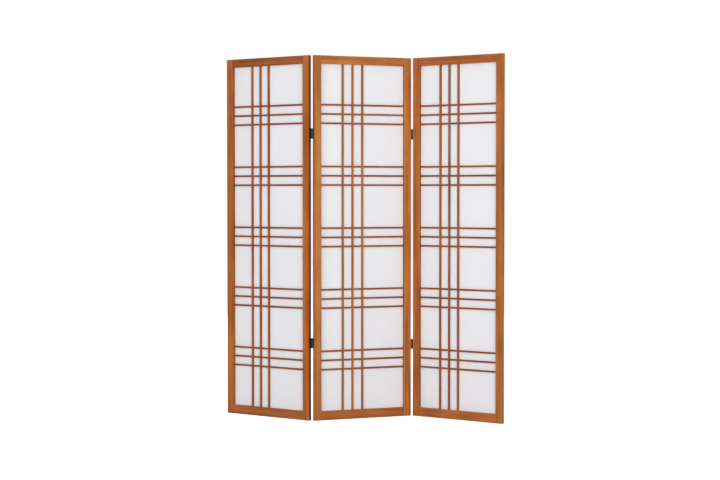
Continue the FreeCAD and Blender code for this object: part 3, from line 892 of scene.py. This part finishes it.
index = add(screws, "GeometryNodeInputIndex").outputs[0]
column = math_node(screws, "FLOOR", math_node(screws, "DIVIDE", index, SCREWS_PER_COLUMN))
in_column = math_node(screws, "MODULO", index, SCREWS_PER_COLUMN)
hinge_pitch = math_node(screws, "MULTIPLY_ADD", column, given["Hinge Pitch Step"], given["Hinge Pitch"])
height = geometry_group(screws, stepped, {
    "Index": in_column, "Group Size": SCREWS_PER_LEAF, "Pitch": given["Pitch"], "Group Pitch": hinge_pitch,
})
column_shift = add(screws, "ShaderNodeVectorMath", operation="SCALE")
wire(screws, given["Column Step"], column_shift.inputs[0])
wire(screws, column, column_shift.inputs["Scale"])
column_foot = add(screws, "ShaderNodeVectorMath", operation="ADD")
wire(screws, given["First Column"], column_foot.inputs[0])
wire(screws, column_shift.outputs[0], column_foot.inputs[1])
screw_spot = add(screws, "ShaderNodeVectorMath", operation="ADD")
wire(screws, column_foot.outputs[0], screw_spot.inputs[0])
wire(screws, spot(screws, 0.0, 0.0, height), screw_spot.inputs[1])

points = add(screws, "GeometryNodeMeshLine")
wire(screws, math_node(screws, "MULTIPLY", given["Columns"], SCREWS_PER_COLUMN), points.inputs["Count"])
set_points = add(screws, "GeometryNodeSetPosition")
wire(screws, points.outputs[0], set_points.inputs["Geometry"])
wire(screws, screw_spot.outputs[0], set_points.inputs["Position"])
spin = add(screws, "FunctionNodeRandomValue", data_type="FLOAT")
# Inputs 2 and 3 and output 1 of this node are its float ones
wire(screws, 0.0, spin.inputs[2])
wire(screws, math.pi / 2, spin.inputs[3])
wire(screws, given["Seed"], spin.inputs["Seed"])
facing = math_node(screws, "MULTIPLY_ADD", column, math.pi, given["Facing"])
set_screws = add(screws, "GeometryNodeInstanceOnPoints")
wire(screws, set_points.outputs[0], set_screws.inputs["Points"])
wire(screws, facing_x.outputs[0], set_screws.inputs["Instance"])
wire(screws, spot(screws, spin.outputs[1], 0.0, facing), set_screws.inputs["Rotation"])
end_tree(screws, set_screws.outputs[0], given, result)
print("screw tree:", len(screws.nodes), "nodes")

# %% [markdown]
# The outer panels have screws on one edge. The centre panel has them on both: its second column stands at
# the other edge, behind the back faces, and looks the other way.

# %% Set the screws
# A screw's head ends this far short of the middle of the gap, level with its leaf
FACE_LEVEL = 0.65 * MM
RIGHT_EDGE = PANEL["width"] + END_GAP / 2 - FACE_LEVEL
LEFT_EDGE = -END_GAP / 2 + FACE_LEVEL
FRONT_ROW = 6.5 * MM
BACK_ROW = PANEL["thickness"] - FRONT_ROW
# Middles of the lower and the upper hinge, on the joint with its pin behind and the one with its pin before
BACK_HINGES = (323 * MM, PANEL["height"] - 324 * MM)
FRONT_HINGES = (307 * MM, PANEL["height"] - 322.5 * MM)
back_pitch = BACK_HINGES[1] - BACK_HINGES[0]
front_pitch = FRONT_HINGES[1] - FRONT_HINGES[0]
back_start = BACK_HINGES[0] - SCREW_PITCH
front_start = FRONT_HINGES[0] - SCREW_PITCH

screw_columns = {
    "left_panel": {
        "First Column": (RIGHT_EDGE, BACK_ROW, back_start),
        "Hinge Pitch": back_pitch,
        "Seed": 1,
    },
    "centre_panel": {
        "First Column": (RIGHT_EDGE, FRONT_ROW, front_start),
        "Hinge Pitch": front_pitch,
        "Column Step": (LEFT_EDGE - RIGHT_EDGE, BACK_ROW - FRONT_ROW, back_start - front_start),
        "Hinge Pitch Step": back_pitch - front_pitch,
        "Columns": 2,
        "Seed": 2,
    },
    "right_panel": {
        "First Column": (LEFT_EDGE, FRONT_ROW, front_start),
        "Hinge Pitch": front_pitch,
        "Facing": math.pi,
        "Seed": 3,
    },
}
for body, values in screw_columns.items():
    piece = grow(body.replace("panel", "screws"), screws, body, hinge_pin, values)
    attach(piece, body)
    print(piece.name, len(piece.data.polygons), "faces")

# %% [markdown]
# ## Stage and light
# The photograph is a cut-out on white. A wide pale floor under a white world reads the same. The floor
# glows, but only to the camera and in reflections, so that it reaches white without more light on the
# object, and still keeps a soft shadow at the feet. The world works in the same way. The light is that of
# a studio tent: nearly even, from two large soft lamps in front, of which the right one is a little
# stronger, and one behind for the backs.

# %% Floor and world
FLOOR_GLOW = 0.76
FLOOR_COLOUR = (0.72, 0.72, 0.72, 1.0)
FLOOR_ROUGHNESS = 0.9
FLOOR_REACH = 14.0
# Just under the feet, so that floor and wood never share a plane
FLOOR_DROP = 0.5 * MM

floor_mesh = bpy.data.meshes.new("floor")
corners = [(x * FLOOR_REACH, y * FLOOR_REACH, 0) for x, y in ((-1, -1), (1, -1), (1, 1), (-1, 1))]
floor_mesh.from_pydata(corners, [], [(0, 1, 2, 3)])
floor = bpy.data.objects.new("floor", floor_mesh)
floor.location.z = -FLOOR_DROP
scene.collection.objects.link(floor)

floor_material, floor_tree, floor_shader = new_material("floor")
floor_shader.inputs["Base Color"].default_value = FLOOR_COLOUR
floor_shader.inputs["Roughness"].default_value = FLOOR_ROUGHNESS
floor_shader.inputs["Specular IOR Level"].default_value = 0.0
path = add(floor_tree, "ShaderNodeLightPath").outputs
seen = math_node(floor_tree, "MAXIMUM", path["Is Camera Ray"], path["Is Glossy Ray"])
seen = math_node(floor_tree, "MAXIMUM", seen, path["Is Transmission Ray"])
floor_shader.inputs["Emission Color"].default_value = (1.0, 1.0, 1.0, 1.0)
glow = math_node(floor_tree, "MULTIPLY", seen, FLOOR_GLOW)
wire(floor_tree, glow, floor_shader.inputs["Emission Strength"])
floor_mesh.materials.append(floor_material)

WORLD_LIGHT = 0.45
world = bpy.data.worlds.new("studio")
world.use_nodes = True
scene.world = world
sky_tree = world.node_tree
sky = sky_tree.nodes["Background"]
sky_path = add(sky_tree, "ShaderNodeLightPath").outputs
shown = math_node(sky_tree, "MAXIMUM", sky_path["Is Camera Ray"], sky_path["Is Glossy Ray"])
shown = math_node(sky_tree, "MAXIMUM", shown, sky_path["Is Transmission Ray"])
sky.inputs["Color"].default_value = (1.0, 1.0, 1.0, 1.0)
wire(sky_tree, stretch(sky_tree, shown, 0.0, 1.0, WORLD_LIGHT, 1.0), sky.inputs["Strength"])

# %% Lamps
# Name, place in metres, side in metres and power in watts
LAMPS = [
    ("key", (1.5, -5.2, 1.8), 3.6, 146.0),
    ("fill", (-2.9, -5.1, 0.4), 3.6, 122.0),
    ("back", (0.0, 5.2, 2.4), 3.6, 170.0),
]


def soft_lamp(name, location, size, power):
    """A square area lamp that looks at the middle of the screen."""
    data = bpy.data.lights.new(name, "AREA")
    data.size = size
    data.energy = power
    lamp = bpy.data.objects.new(name, data)
    lamp.location = location
    to_middle = Vector((0, 0, PANEL["height"] / 2)) - Vector(location)
    lamp.rotation_euler = to_middle.to_track_quat("-Z", "Y").to_euler()
    scene.collection.objects.link(lamp)


for lamp_facts in LAMPS:
    soft_lamp(*lamp_facts)
scene.view_settings.view_transform = "Standard"
print(len(LAMPS), "lamps")
